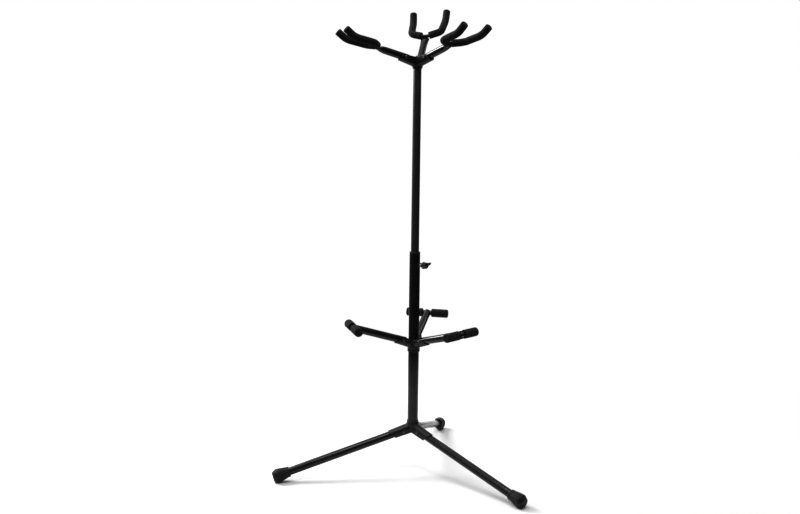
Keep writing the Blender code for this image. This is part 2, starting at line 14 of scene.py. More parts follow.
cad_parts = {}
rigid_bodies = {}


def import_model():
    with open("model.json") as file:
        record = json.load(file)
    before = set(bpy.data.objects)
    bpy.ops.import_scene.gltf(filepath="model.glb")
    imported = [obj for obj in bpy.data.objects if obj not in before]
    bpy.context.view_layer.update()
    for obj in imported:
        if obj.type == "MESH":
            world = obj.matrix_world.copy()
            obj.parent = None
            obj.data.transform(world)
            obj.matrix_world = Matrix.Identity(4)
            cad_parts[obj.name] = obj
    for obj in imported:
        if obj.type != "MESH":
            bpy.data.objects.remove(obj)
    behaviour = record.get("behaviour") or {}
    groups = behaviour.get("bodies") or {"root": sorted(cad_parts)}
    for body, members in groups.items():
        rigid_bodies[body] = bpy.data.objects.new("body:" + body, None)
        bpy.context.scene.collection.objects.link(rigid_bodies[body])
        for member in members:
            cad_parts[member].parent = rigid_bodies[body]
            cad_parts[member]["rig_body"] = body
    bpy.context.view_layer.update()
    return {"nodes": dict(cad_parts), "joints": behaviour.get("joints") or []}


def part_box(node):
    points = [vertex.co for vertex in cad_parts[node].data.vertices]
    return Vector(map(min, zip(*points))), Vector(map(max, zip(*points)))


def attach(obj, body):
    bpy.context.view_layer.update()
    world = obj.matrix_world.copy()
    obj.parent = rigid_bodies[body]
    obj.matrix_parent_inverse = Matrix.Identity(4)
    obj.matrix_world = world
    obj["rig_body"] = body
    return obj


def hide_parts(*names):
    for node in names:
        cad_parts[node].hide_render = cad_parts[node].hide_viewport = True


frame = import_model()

MM = 0.001
X, Y, Z = Vector((1, 0, 0)), Vector((0, 1, 0)), Vector((0, 0, 1))
SIDES = ("front_left", "front_right", "rear")
HANDS = (("left", 1), ("right", -1))
JOINTS = {joint["name"]: joint for joint in frame["joints"]}
COLUMN = Vector((JOINTS["mast_turn"]["pos_m"][0], JOINTS["mast_turn"]["pos_m"][1], 0))

GAP = 0.3 * MM  # running clearance
ROUND, FINE = 64, 96  # facets round a small piece and round the column
SHEET = 1.8 * MM  # bracket steel
TUBE_R, TUBE_BORE, MAST_R, MAST_BORE = 12.7 * MM, 11.2 * MM, 9.525 * MM, 8.3 * MM
LEG_BORE, REST_BORE, YOKE_R, YOKE_BORE = 8.1 * MM, 7.9 * MM, 8.4 * MM, 7.2 * MM
ARM_BACK, REST_SLANT, YOKE_SLANT = 4.4 * MM, 0.25, 0.5  # how the arms' inner ends are cut
RIVET_R, RIVET_HOLE, RIVET_HEAD, RIVET_RISE = 2.5 * MM, 2.8 * MM, 3.8 * MM, 1.8 * MM
ROD_R, FOAM_R, FOAM_CAP = 4.0 * MM, 8.5 * MM, 3.0 * MM
BAR_R, BAR_BORE, SLEEVE_R = 6.35 * MM, 5.2 * MM, 10.5 * MM
SCREW_R, SCREW_BORE = 3.0 * MM, 3.3 * MM
BOOT_R = 16.3 * MM
WING_ROLL = math.radians(20)
RIB, RIB_DEPTH = 2.0 * MM, 0.28 * MM  # the foam's fine cross ribs
LUMPS = 110  # the foam's unevenness, in lumps to the metre
BEAD_POINTS, BEAD_RIPPLE = 60, 5  # points round a weld, and from one of its ripples to the next


# ------------------------------ materials


def set_inputs(tree, node, values):
    """Sets a node's inputs; a value that is another node's output is linked to instead."""
    for name, value in values.items():
        if isinstance(value, bpy.types.NodeSocket):
            tree.links.new(value, node.inputs[name])
        else:
            node.inputs[name].default_value = value


def add_node(tree, kind, values, operation=None):
    node = tree.nodes.new(kind)
    if operation:
        node.operation = operation
    set_inputs(tree, node, values)
    return node


def shade(made, values):
    """Sets or links inputs of a material's own shader."""
    set_inputs(made.node_tree, made.node_tree.nodes["Principled BSDF"], values)


def material(name, base, metallic=0.0, coat=0.0, sheen=0.0, shine=0.4):
    """A plain Principled material, for layers to be added to."""
    made = bpy.data.materials.new(name)
    made.use_nodes = True
    shade(made, {
        "Base Color": (*base, 1), "Metallic": metallic, "Specular IOR Level": shine,
        "Coat Weight": coat, "Coat Roughness": 0.16, "Sheen Weight": sheen, "Sheen Roughness": 0.6,
    })
    made.diffuse_color = (*base, 1)
    return made


def own_place(tree):
    """The piece's own coordinates."""
    return add_node(tree, "ShaderNodeTexCoord", {}).outputs["Object"]


def noise_layer(made, scale, stretch=(1, 1, 1), detail=3.0, roughness=0.5):
    """A noise texture in the piece's own coordinates, stretched along its axes."""
    tree = made.node_tree
    mapping = add_node(tree, "ShaderNodeMapping", {"Vector": own_place(tree), "Scale": stretch})
    texture = add_node(tree, "ShaderNodeTexNoise", {
        "Vector": mapping.outputs["Vector"], "Scale": scale, "Detail": detail, "Roughness": roughness,
    })
    return texture.outputs["Fac"]


def cells(made, scale):
    """Small rounded cells, as in moulded foam."""
    tree = made.node_tree
    values = {"Vector": own_place(tree), "Scale": scale}
    return add_node(tree, "ShaderNodeTexVoronoi", values).outputs["Distance"]


def colour_between(made, factor, low, high, start=0.35, end=0.65):
    """Base colour from low to high as factor goes from start to end."""
    ramp = add_node(made.node_tree, "ShaderNodeValToRGB", {"Fac": factor})
    for element, position, colour in zip(ramp.color_ramp.elements, (start, end), (low, high)):
        element.position = position
        element.color = (*colour, 1)
    shade(made, {"Base Color": ramp.outputs["Color"]})
    return ramp.outputs["Color"]


def roughness_between(made, factor, low, high):
    """Roughness from low to high over the middle of a noise layer's range."""
    spread = add_node(made.node_tree, "ShaderNodeMapRange", {
        "Value": factor, "From Min": 0.3, "From Max": 0.7, "To Min": low, "To Max": high,
    })
    shade(made, {"Roughness": spread.outputs["Result"]})


def bumps(made, layers):
    """Stacked bumps from (height, strength, distance) layers."""
    below = {}
    for height, strength, distance in layers:
        values = {"Height": height, "Strength": strength, "Distance": distance, **below}
        bump = add_node(made.node_tree, "ShaderNodeBump", values)
        below = {"Normal": bump.outputs["Normal"]}
    shade(made, below)


def colour_mix(tree, factor, first, second):
    """A mix from a linked colour to a plain one."""
    mix = tree.nodes.new("ShaderNodeMix")
    mix.data_type = "RGBA"
    set_inputs(tree, mix, {"Factor": factor, "A": first, "B": (*second, 1)})
    return mix.outputs["Result"]


def wear_and_edge_highlight(made, colour, wear_and_highlight_colour, amount):
    """Mixes a paler colour in along the sharpest convex edges, in patches: partly wear, partly a painted
    edge highlight.
    """
    tree = made.node_tree
    pointed = add_node(tree, "ShaderNodeNewGeometry", {}).outputs["Pointiness"]
    values = {"Value": pointed, "From Min": 0.53, "From Max": 0.62, "To Max": amount}
    edges = add_node(tree, "ShaderNodeMapRange", values).outputs["Result"]
    patches = add_node(tree, "ShaderNodeMath", {0: edges, 1: noise_layer(made, 260)}, "MULTIPLY")
    shade(made, {"Base Color": colour_mix(tree, patches.outputs["Value"], colour, wear_and_highlight_colour)})


def gloss_paint():
    """Gloss black powder coat: a faint orange peel, and smeared patches in its gloss."""
    made = material("gloss_black_paint", (0.012, 0.012, 0.013), coat=0.12)
    colour_between(made, noise_layer(made, 40), (0.012, 0.012, 0.013), (0.019, 0.019, 0.020))
    roughness_between(made, noise_layer(made, 55, (0.35, 1, 1)), 0.13, 0.24)
    peel = noise_layer(made, 420, detail=2)
    grain = noise_layer(made, 1900, detail=1)
    bumps(made, [(peel, 0.09, 0.3 * MM), (grain, 0.04, 0.1 * MM)])
    return made


def mast_paint():
    """A duller and paler coat on the sliding tube, with fine streaks along it."""
    made = material("mast_paint", (0.012, 0.012, 0.013), coat=0.12)
    streaks = noise_layer(made, 1200, (0.02, 1, 1), detail=4)
    colour_between(made, streaks, (0.036, 0.036, 0.037), (0.056, 0.056, 0.057))
    roughness_between(made, streaks, 0.28, 0.46)
    peel = noise_layer(made, 420, detail=2)
    bumps(made, [(peel, 0.14, 0.3 * MM), (streaks, 0.05, 0.05 * MM)])
    return made


def satin_paint():
    """Satin black coat on pressed steel, thin, with paler sharp edges that are partly wear and partly a
    painted edge highlight.
    """
    made = material("satin_black_paint", (0.016, 0.016, 0.017), coat=0.1)
    mottle = noise_layer(made, 90, detail=5)
    colour = colour_between(made, mottle, (0.011, 0.011, 0.012), (0.021, 0.021, 0.022))
    # paler sharp edges: partly wear, partly a painted highlight along the edges
    wear_and_edge_highlight(made, colour, (0.16, 0.16, 0.165), 0.5)
    roughness_between(made, noise_layer(made, 70), 0.32, 0.48)
    dents = noise_layer(made, 160, detail=2)
    grain = noise_layer(made, 1500, detail=2)
    bumps(made, [(dents, 0.2, 0.4 * MM), (grain, 0.12, 0.12 * MM)])
    return made


def foam():
    """Matte closed-cell foam."""
    made = material("black_foam", (0.016, 0.016, 0.017), sheen=0.06, shine=0.12)
    colour_between(made, noise_layer(made, 130, detail=6), (0.02, 0.02, 0.021), (0.036, 0.036, 0.037))
    roughness_between(made, noise_layer(made, 300), 0.85, 0.98)
    lumps = noise_layer(made, 700, detail=4)
    bumps(made, [(cells(made, 1600), 0.35, 0.15 * MM), (lumps, 0.3, 0.25 * MM)])
    return made


def foam_cut():
    """The foam's cut end faces, paler and more open than its skin."""
    made = material("black_foam_cut", (0.05, 0.05, 0.052), sheen=0.06, shine=0.12)
    colour_between(made, cells(made, 1300), (0.045, 0.045, 0.047), (0.018, 0.018, 0.019), 0.1, 0.6)
    roughness_between(made, noise_layer(made, 300), 0.8, 0.95)
    bumps(made, [(cells(made, 1300), 0.6, 0.25 * MM)])
    return made


def rubber():
    """Moulded rubber with a faint bloom."""
    made = material("black_rubber", (0.018, 0.018, 0.019), sheen=0.05, shine=0.2)
    bloom = noise_layer(made, 75, detail=6, roughness=0.6)
    colour = colour_between(made, bloom, (0.012, 0.012, 0.013), (0.03, 0.03, 0.031))
    # paler sharp edges on the rubber: partly wear, partly a painted highlight on the toe's chamfer ring
    wear_and_edge_highlight(made, colour, (0.07, 0.07, 0.072), 0.8)
    roughness_between(made, noise_layer(made, 140), 0.42, 0.6)
    bumps(made, [(noise_layer(made, 900, detail=3), 0.25, 0.15 * MM)])
    return made


def plastic():
    """Fine-textured moulded plastic."""
    made = material("black_plastic", (0.02, 0.02, 0.021))
    colour_between(made, noise_layer(made, 110), (0.015, 0.015, 0.016), (0.026, 0.026, 0.027))
    roughness_between(made, noise_layer(made, 200), 0.34, 0.5)
    bumps(made, [(noise_layer(made, 1400, detail=2), 0.22, 0.1 * MM)])
    return made


def plated_steel():
    """Zinc-plated steel, turned: fine rings round its axis."""
    made = material("plated_steel", (0.6, 0.6, 0.61), metallic=1.0)
    rings = noise_layer(made, 900, (4, 0.15, 0.15), detail=2)
    colour_between(made, noise_layer(made, 260, detail=4), (0.42, 0.42, 0.44), (0.72, 0.72, 0.73))
    roughness_between(made, rings, 0.24, 0.42)
    bumps(made, [(rings, 0.12, 0.06 * MM)])
    return made


def dark_steel():
    """Blackened rivet steel."""
    made = material("dark_steel", (0.05, 0.05, 0.052), metallic=0.8)
    colour_between(made, noise_layer(made, 320, detail=4), (0.05, 0.05, 0.052), (0.15, 0.15, 0.155))
    roughness_between(made, noise_layer(made, 500), 0.26, 0.42)
    bumps(made, [(noise_layer(made, 800), 0.15, 0.08 * MM)])
    return made


GLOSS, MAST, SATIN = gloss_paint(), mast_paint(), satin_paint()
FOAM, FOAM_CUT, RUBBER = foam(), foam_cut(), rubber()
PLASTIC, STEEL, RIVET = plastic(), plated_steel(), dark_steel()


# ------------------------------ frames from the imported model


def framed(origin, along, across):
    """A frame with X along, Y nearly across and Z upwards."""
    x = along.normalized()
    z = x.cross(across).normalized()
    if z.z < 0:
        z.negate()
    turn = Matrix((x, z.cross(x), z)).transposed().to_4x4()
    return Matrix.Translation(origin) @ turn


def pivot_of(joint):
    return Vector(JOINTS[joint]["pos_m"])


def axis_of(joint):
    return Vector(JOINTS[joint]["axis"])


def points_of(node):
    return [vertex.co for vertex in frame["nodes"][node].data.vertices]


def mean(points):
    return sum(points, Vector()) / len(points)


def farthest(points, origin, within=1 * MM):
    """The middle of the points that lie farthest from origin."""
    reach = max((p - origin).length for p in points)
    return mean([p for p in points if (p - origin).length > reach - within])


def arm_frame(joint, node):
    """X runs along the node's tube from its joint; a yoke arm's pressed end lies off its tube's line."""
    pivot = pivot_of(joint)
    if "yoke" in node:
        last_round = 43 * MM
        end = mean([p for p in points_of(node) if abs((p - pivot).length - last_round) < 2 * MM])
    else:
        end = farthest(points_of(node), pivot)
    return framed(pivot, end - pivot, axis_of(joint))


def cut_back(mesh, low, slant):
    """Leans the inner end of a tube back above its centre line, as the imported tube's is."""
    for vertex in mesh.vertices:
        if vertex.co.x < low + 1 * MM:
            vertex.co.x += -ARM_BACK - low - slant * max(vertex.co.z, 0)
    return mesh


def extent(node, place):
    """The node's lowest and highest coordinates in a frame."""
    local = [place.inverted() @ p for p in points_of(node)]
    low = Vector([min(p[i] for p in local) for i in range(3)])
    high = Vector([max(p[i] for p in local) for i in range(3)])
    return low, high


def upright(node):
    """A frame on the column's axis at the node's lowest point, with X up, and the node's height."""
    low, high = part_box(node)
    turn = Matrix((Z, Y, -X)).transposed().to_4x4()
    return Matrix.Translation((COLUMN.x, COLUMN.y, low.z)) @ turn, high.z - low.z


# ------------------------------ meshes


def angles(count):
    return [2 * math.pi * i / count for i in range(count)]


def ring(centre, across, up, half_width, half_height, sides):
    return [
        centre + across * (half_width * math.cos(a)) + up * (half_height * math.sin(a))
        for a in angles(sides)
    ]


def outward(mesh):
    bm = bmesh.new()
    bm.from_mesh(mesh)
    bmesh.ops.recalc_face_normals(bm, faces=bm.faces)
    bm.to_mesh(mesh)
    bm.free()
    return mesh


def skin(rings, closed=False, caps=(0, -1)):
    """A mesh through rings of equal size; closed joins the last to the first, else caps fill some."""
    count, total = len(rings[0]), len(rings)
    faces = []
    for k in range(total if closed else total - 1):
        one, two = k * count, (k + 1) % total * count
        for i in range(count):
            j = (i + 1) % count
            faces.append((one + i, one + j, two + j, two + i))
    for cap in () if closed else caps:
        first = cap % total * count
        faces.append(tuple(range(first, first + count)))
    mesh = bpy.data.meshes.new("skin")
    mesh.from_pydata([p for points in rings for p in points], [], faces)
    return outward(mesh)


def turned(profile, sides=ROUND, closed=True, shape=None):
    """A body turned about X from (x, radius) pairs; shape(x, radius, angle) may vary the radius."""
    rings = []
    for x, r in profile:
        points = []
        for a in angles(sides):
            rr = shape(x, r, a) if shape else r
            points.append(Vector((x, rr * math.cos(a), rr * math.sin(a))))
        rings.append(points)
    return skin(rings, closed)


def filleted(corners, closed=True):
    """(x, radius) pairs through (x, radius, fillet) corners, each rounded by its fillet."""
    steps = 5
    pairs = []
    last = len(corners) - 1
    for i, (x, r, fillet) in enumerate(corners):
        if fillet == 0 or (not closed and i in (0, last)):
            pairs.append((x, r))
            continue
        corner = Vector((x, r))
        back = (Vector(corners[i - 1][:2]) - corner).normalized()
        ahead = (Vector(corners[(i + 1) % len(corners)][:2]) - corner).normalized()
        half = back.angle(ahead) / 2
        middle = corner + (back + ahead).normalized() * (fillet / math.sin(half))
        first = corner + back * (fillet / math.tan(half)) - middle
        final = corner + ahead * (fillet / math.tan(half)) - middle
        sweep = math.pi - 2 * half
        for k in range(steps + 1):
            t = k / steps
            one, two = math.sin((1 - t) * sweep), math.sin(t * sweep)
            pairs.append(tuple(middle + (first * one + final * two) / math.sin(sweep)))
    return pairs


def lathed(corners, closed=True):
    """A finely turned body from (x, radius, fillet) corners."""
    return turned(filleted(corners, closed), FINE, closed)


def tube_profile(low, high, outer, bore, lip=0.5 * MM):
    corners = [(low, outer, lip), (high, outer, lip), (high, bore, lip), (low, bore, lip)]
    return filleted(corners)


def cylinder(radius, start, end, turn=Matrix.Identity(4), sides=32):
    """A solid cylinder along X, turned into place, for cutting with."""
    mesh = turned([(start, radius), (end, radius)], sides, closed=False)
    mesh.transform(turn)
    return mesh


ALONG_Y = Matrix.Rotation(math.pi / 2, 4, "Z")
ALONG_Z = Matrix.Rotation(-math.pi / 2, 4, "Y")


def add_object(name, data):
    """A new object in the scene."""
    made = bpy.data.objects.new(name, data)
    bpy.context.scene.collection.objects.link(made)
    return made


def applied(mesh, add_modifiers):
    """The mesh after the modifiers that add_modifiers puts on an object that holds it."""
    holder = add_object("spare", mesh)
    spares = add_modifiers(holder) or []
    depsgraph = bpy.context.evaluated_depsgraph_get()
    result = bpy.data.meshes.new_from_object(holder.evaluated_get(depsgraph))
    for spare in [holder, *spares]:
        bpy.data.objects.remove(spare, do_unlink=True)
    return result


def combined(mesh, steps):
    """The mesh after a chain of (operation, mesh) Boolean steps."""

    def add(holder):
        tools = []
        for operation, shape in steps:
            tools.append(add_object("spare", shape))
            step = holder.modifiers.new("step", "BOOLEAN")
            step.operation = operation
            step.object = tools[-1]
            step.solver = "EXACT"
        return tools

    return applied(mesh, add)


def softened(mesh, voxel, rounds, keep=1.0):
    """Remeshed and smoothed, so that every edge has a small even radius, as in pressed or cast work."""

    def add(holder):
        remesh = holder.modifiers.new("remesh", "REMESH")
        remesh.mode = "VOXEL"
        remesh.voxel_size = voxel
        smooth = holder.modifiers.new("smooth", "SMOOTH")
        smooth.factor = 0.5
        smooth.iterations = rounds
        if keep < 1:
            thin = holder.modifiers.new("thin", "DECIMATE")
            thin.ratio = keep

    return applied(mesh, add)


# ------------------------------ pieces


def piece(name, mesh, place, node, surface, replaces=(), sharp=38):
    """A finished piece that rides with a node's body, and hides the nodes it stands for."""
    mesh.name = name
    mesh.shade_smooth()
    mesh.set_sharp_from_angle(angle=math.radians(sharp))
    made = add_object(name, mesh)
    made.matrix_world = place
    if not mesh.materials:
        mesh.materials.append(surface)
    else:
        mesh.materials[0] = surface
    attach(made, frame["nodes"][node]["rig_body"])
    if replaces:
        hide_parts(*replaces)
    return made


def detailed(node, suffix, mesh, place, surface, sharp=38):
    """A piece that stands for one node."""
    return piece(f"{node}_{suffix}", mesh, place, node, surface, replaces=(node,), sharp=sharp)


def bead(name, path, radius, node, surface, place, closed=True):
    """A weld bead along a path: a thin cord with even ripples in it."""
    total = len(path)
    rings = []
    for i, centre in enumerate(path):
        before, after = path[(i - 1) % total], path[(i + 1) % total]
        if not closed:
            before, after = path[max(i - 1, 0)], path[min(i + 1, total - 1)]
        direction = (after - before).normalized()
        across = direction.orthogonal().normalized() if i == 0 else across
        across = (across - direction * across.dot(direction)).normalized()
        swell = radius * (0.82 + 0.18 * math.cos(2 * math.pi * i / BEAD_RIPPLE))
        if not closed:
            swell *= math.sqrt(max(1 - (2 * i / (total - 1) - 1) ** 8, 0.02))
        rings.append(ring(centre, across, direction.cross(across), swell, swell, 12))
    return piece(name, skin(rings, closed), place, node, surface, sharp=60)


# ------------------------------ column and mast


def build_column():
    tube = "lower_tube"
    place, height = upright(tube)
    clamp = clamp_place()
    mesh = turned(tube_profile(0, height, TUBE_R, TUBE_BORE), FINE)
    hole = cylinder(SCREW_BORE, 5 * MM, 20 * MM, place.inverted() @ clamp)
    detailed(tube, "steel", combined(mesh, [("DIFFERENCE", hole)]), place, GLOSS)

    place, height = upright("tube_end_plug")
    rim, spigot = 12.6 * MM, 10.9 * MM
    corners = [
        (0, 0.3 * MM, 0), (0, rim - 1.6 * MM, 0.5 * MM), (0.7 * MM, rim, 0.8 * MM),
        (2.4 * MM, rim, 0.2 * MM), (2.4 * MM, spigot, 0),
        (height, spigot - 0.6 * MM, 0.6 * MM), (height, 0.3 * MM, 0),
    ]
    detailed("tube_end_plug", "moulded", lathed(corners, False), place, PLASTIC)

    place, height = upright("mast_bushing")
    bore, barrel, flange = MAST_R + GAP, 10.9 * MM, 12.9 * MM
    seat = height - 2.3 * MM
    corners = [
        (0, bore, 0.3 * MM), (0, barrel, 0.5 * MM),
        (seat, barrel, 0), (seat, flange - 0.3 * MM, 0.3 * MM),
        (seat + 0.6 * MM, flange, 0.3 * MM), (height - 0.5 * MM, flange - 0.2 * MM, 0.5 * MM),
        (height, flange - 1.3 * MM, 0.4 * MM), (height, bore, 0.5 * MM),
    ]
    detailed("mast_bushing", "moulded", lathed(corners), place, PLASTIC)


def build_mast():
    place, height = upright("mast_tube")
    detailed("mast_tube", "steel", turned(tube_profile(0, height, MAST_R, MAST_BORE), FINE), place, MAST)

    place, height = upright("mast_guide")
    outer, shank, bore = 10.9 * MM, 8.0 * MM, 3 * MM
    corners = [
        (0, bore, 0.4 * MM), (0, 10 * MM, 0.5 * MM), (1 * MM, outer, 0.4 * MM),
        (5.7 * MM, outer, 0.3 * MM), (5.7 * MM, shank, 0),
        (height, shank, 0.8 * MM), (height, bore, 0.4 * MM),
    ]
    detailed("mast_guide", "moulded", lathed(corners), place, PLASTIC)

    place, height = upright("mast_cap")
    seat, plug = 10.3 * MM, 8 * MM
    corners = [
        (0, 0.3 * MM, 0), (0, plug, 0.8 * MM), (seat, plug, 0), (seat, 9.4 * MM, 0.2 * MM),
        (seat + 1.4 * MM, 9.3 * MM, 0.6 * MM), (height - 0.5 * MM, 7.4 * MM, 1.5 * MM),
        (height, 3 * MM, 1 * MM), (height, 0.3 * MM, 0),
    ]
    detailed("mast_cap", "moulded", lathed(corners, False), place, PLASTIC)


# ------------------------------ brackets


def channel(width, tilt, opens, start, ends, sag, rims, floor):
    """A solid with a round floor and straight walls that runs out along an arm."""
    arc = 28

    def section(drop, rim):
        curve = []
        for i in range(arc + 1):
            a = math.pi * i / arc
            curve.append((width * math.cos(a), -drop - (floor - width) - width * math.sin(a)))
        return [(width, rim), *curve, (-width, rim)]

    def outer_x(height, rim):
        share = (height + floor) / (rim + floor)
        return ends[0] + (ends[1] - ends[0]) * min(max(share, 0), 1)

    inner = [Vector((start, y, z)) for y, z in section(sag, rims[0])]
    outer = [Vector((outer_x(z, rims[1]), y, z)) for y, z in section(0, rims[1])]
    mesh = skin([inner, outer])
    if opens < 0:
        mesh.transform(Matrix.Scale(-1, 4, Z))
        mesh.flip_normals()
    mesh.transform(Matrix.Rotation(-tilt, 4, "Y"))
    return mesh


def bracket(node, part, arm_node, spec):
    """A pressed bracket: collar, three channels with rivet holes, and the column's bore."""
    joints = [f"{side}_{part}_fold" for side in SIDES]
    first = arm_frame(joints[0], arm_node)
    along = first.to_3x3() @ X
    tilt = math.asin(along.z)
    reach = (first.translation - COLUMN).xy.length
    crossing = first.translation.z - reach * math.tan(tilt)
    pivot = reach / math.cos(tilt)
    inner_w = spec["arm"] + 0.4 * MM
    outer_w = inner_w + SHEET
    opens, sag, web, deep = spec["opens"], spec["sag"], spec["web"], spec["deep"]
    post = lathed([
        (spec["collar_end"] * opens, 1 * MM, 0),
        (spec["collar_end"] * opens, spec["collar"], 0.4 * MM),
        (spec["collar_top"] * opens, spec["collar"], 2 * MM),
        (spec["shoulder"] * opens, spec["post"], 2 * MM),
        (spec["rim"] * opens, spec["post"], 0.4 * MM),
        (spec["rim"] * opens, 1 * MM, 0),
    ], closed=False)
    post.transform(ALONG_Z)
    outer = channel(outer_w, tilt, opens, 2 * MM, (web, spec["wall"]), sag, spec["rims"], outer_w + deep)
    far, above = web + 20 * MM, 60 * MM
    start = spec["pocket"]
    depth = inner_w - sag * 0.35 + deep * 0.8
    pocket = channel(inner_w, tilt, opens, start, (far, far), sag * 1.25, (above, above), depth)
    pin = cylinder(RIVET_HOLE, -30 * MM, 30 * MM, ALONG_Y)
    pin.transform(Matrix.Rotation(-tilt, 4, "Y") @ Matrix.Translation(X * pivot))
    unions, cuts = [], []
    for joint in joints:
        outwards = (pivot_of(joint) - COLUMN).xy
        turn = Matrix.Rotation(math.atan2(outwards.y, outwards.x), 4, "Z")
        for shape, steps, operation in (
            (outer, unions, "UNION"), (pocket, cuts, "DIFFERENCE"), (pin, cuts, "DIFFERENCE"),
        ):
            copy = shape.copy()
            copy.transform(turn)
            steps.append((operation, copy))
    cuts.append(("DIFFERENCE", cylinder(spec["bore"], -60 * MM, 60 * MM, ALONG_Z, FINE)))
    mesh = softened(combined(post, unions + cuts), 0.5 * MM, rounds=3, keep=0.5)
    place = Matrix.Translation(COLUMN + Z * crossing)
    return detailed(node, "pressed", mesh, place, SATIN, sharp=60)


def build_brackets():
    bracket("base_hub", "leg", "front_left_leg", {
        "arm": 9.525 * MM, "opens": -1, "collar": 14.2 * MM, "collar_end": -18.5 * MM,
        "collar_top": -13.5 * MM, "post": 15.2 * MM, "shoulder": -11 * MM, "rim": 8.4 * MM,
        "web": 62 * MM, "wall": 50 * MM, "sag": 2.4 * MM, "rims": (8.8 * MM, 8.0 * MM),
        "deep": 0, "pocket": 15.6 * MM, "bore": TUBE_R + GAP,
    })
    bracket("mid_hub", "rest", "front_left_rest_arm", {
        "arm": 9.1 * MM, "opens": 1, "collar": 14.7 * MM, "collar_end": -21 * MM,
        "collar_top": -13 * MM, "post": 15.2 * MM, "shoulder": -10 * MM, "rim": 9 * MM,
        "web": 48 * MM, "wall": 37.5 * MM, "sag": 3.3 * MM, "rims": (8 * MM, 1.5 * MM),
        "deep": 0, "pocket": 15.6 * MM, "bore": TUBE_R + GAP,
    })
    bracket("top_hub", "yoke", "front_left_yoke_arm", {
        "arm": YOKE_R, "opens": 1, "collar": 11.6 * MM, "collar_end": -16.6 * MM,
        "collar_top": -13.2 * MM, "post": 13.6 * MM, "shoulder": -9 * MM, "rim": 9 * MM,
        "web": 46 * MM, "wall": 38.5 * MM, "sag": 3.3 * MM, "rims": (8 * MM, 5 * MM),
        "deep": 1.2 * MM, "pocket": 14 * MM, "bore": MAST_R + GAP,
    })


def build_rivet(node, joint):
    """A headed rivet: a flanged head at each end with a shallow dished face."""
    place = framed(pivot_of(joint), axis_of(joint), X + Y * 0.3)
    grip = extent(node, place)[1].x - RIVET_RISE - 0.2 * MM
    half = filleted([
        (0, RIVET_R, 0), (grip, RIVET_R, 0), (grip, RIVET_HEAD, 0.2 * MM),
        (grip + 0.8 * MM, RIVET_HEAD, 0.5 * MM), (grip + RIVET_RISE, 2.2 * MM, 0.6 * MM),
        (grip + 1.5 * MM, 1.2 * MM, 0.3 * MM), (grip + 1.4 * MM, 0.1 * MM, 0),
    ], closed=False)[1:]
    profile = [(-x, r) for x, r in reversed(half)] + half
    detailed(node, "set", turned(profile, 32, closed=False), place, RIVET)


# ------------------------------ legs and feet


def drilled(mesh):
    return combined(mesh, [("DIFFERENCE", cylinder(RIVET_HOLE, -20 * MM, 20 * MM, ALONG_Y))])


def build_leg(side):
    node = f"{side}_leg"
    place = arm_frame(f"{side}_leg_fold", node)
    low, high = extent(node, place)
    mesh = turned(tube_profile(low.x, high.x, high.y, LEG_BORE))
    detailed(node, "steel", drilled(mesh), place, GLOSS)
    build_boot(side, place, high)


def build_boot(side, place, leg_end):
    """A flared boot with shallow flutes, a chamfered toe and a flat where it stands on the floor."""
    node = f"{side}_foot"
    low, high = extent(node, place)
    widest = high.x - 13 * MM
    bore = leg_end.y + GAP
    socket = leg_end.x + 0.7 * MM
    corners = [
        (socket, 0.3 * MM, 0), (socket, bore, 0.3 * MM), (low.x, bore, 0.4 * MM),
        (low.x, 11.9 * MM, 0.7 * MM), (low.x + 2.4 * MM, 12.6 * MM, 0.8 * MM),
        (low.x + 4.2 * MM, 12.3 * MM, 0.8 * MM), (low.x + 16 * MM, 14.6 * MM, 12 * MM),
        (widest - 3 * MM, BOOT_R - 0.2 * MM, 5 * MM), (widest + 3.2 * MM, BOOT_R, 1.4 * MM),
        (widest + 11.6 * MM, 11.9 * MM, 1 * MM), (high.x, 10.2 * MM, 0.8 * MM),
        (high.x - 0.6 * MM, 8.6 * MM, 0.5 * MM), (high.x - 0.8 * MM, 0.3 * MM, 0),
    ]
    flute_start, flute_end = low.x + 7 * MM, widest + 0.5 * MM
    flutes, flute_depth = 10, 0.55 * MM

    def fluted(x, r, a):
        if not (flute_start < x < flute_end) or r < 12 * MM:
            return r
        depth = math.sin(math.pi * (x - flute_start) / (flute_end - flute_start)) ** 0.6
        return r - flute_depth * depth * max(math.cos(flutes * a), 0) ** 1.5

    profile = subdivided(filleted(corners, False), 1.2 * MM)
    mesh = turned(profile, 120, closed=False, shape=fluted)
    inverse = place.inverted()
    for vertex in mesh.vertices:
        world = place @ vertex.co
        if world.z < 0:
            world.z = 0
            vertex.co = inverse @ world
    mesh.transform(place)
    detailed(node, "moulded", mesh, Matrix.Identity(4), RUBBER)


def subdivided(profile, step):
    """The profile with its long stretches cut into steps."""
    pairs = []
    for (x0, r0), (x1, r1) in zip(profile, profile[1:]):
        count = max(1, round(abs(x1 - x0) / step))
        pairs += [(x0 + (x1 - x0) * k / count, r0 + (r1 - r0) * k / count) for k in range(count)]
    return pairs + [profile[-1]]


# ------------------------------ body rests


def ribbed(x, r):
    """A radius with the foam's cross ribs taken off it."""
    wave = 0.5 - 0.5 * math.cos(2 * math.pi * x / RIB)
    return r - RIB_DEPTH * wave


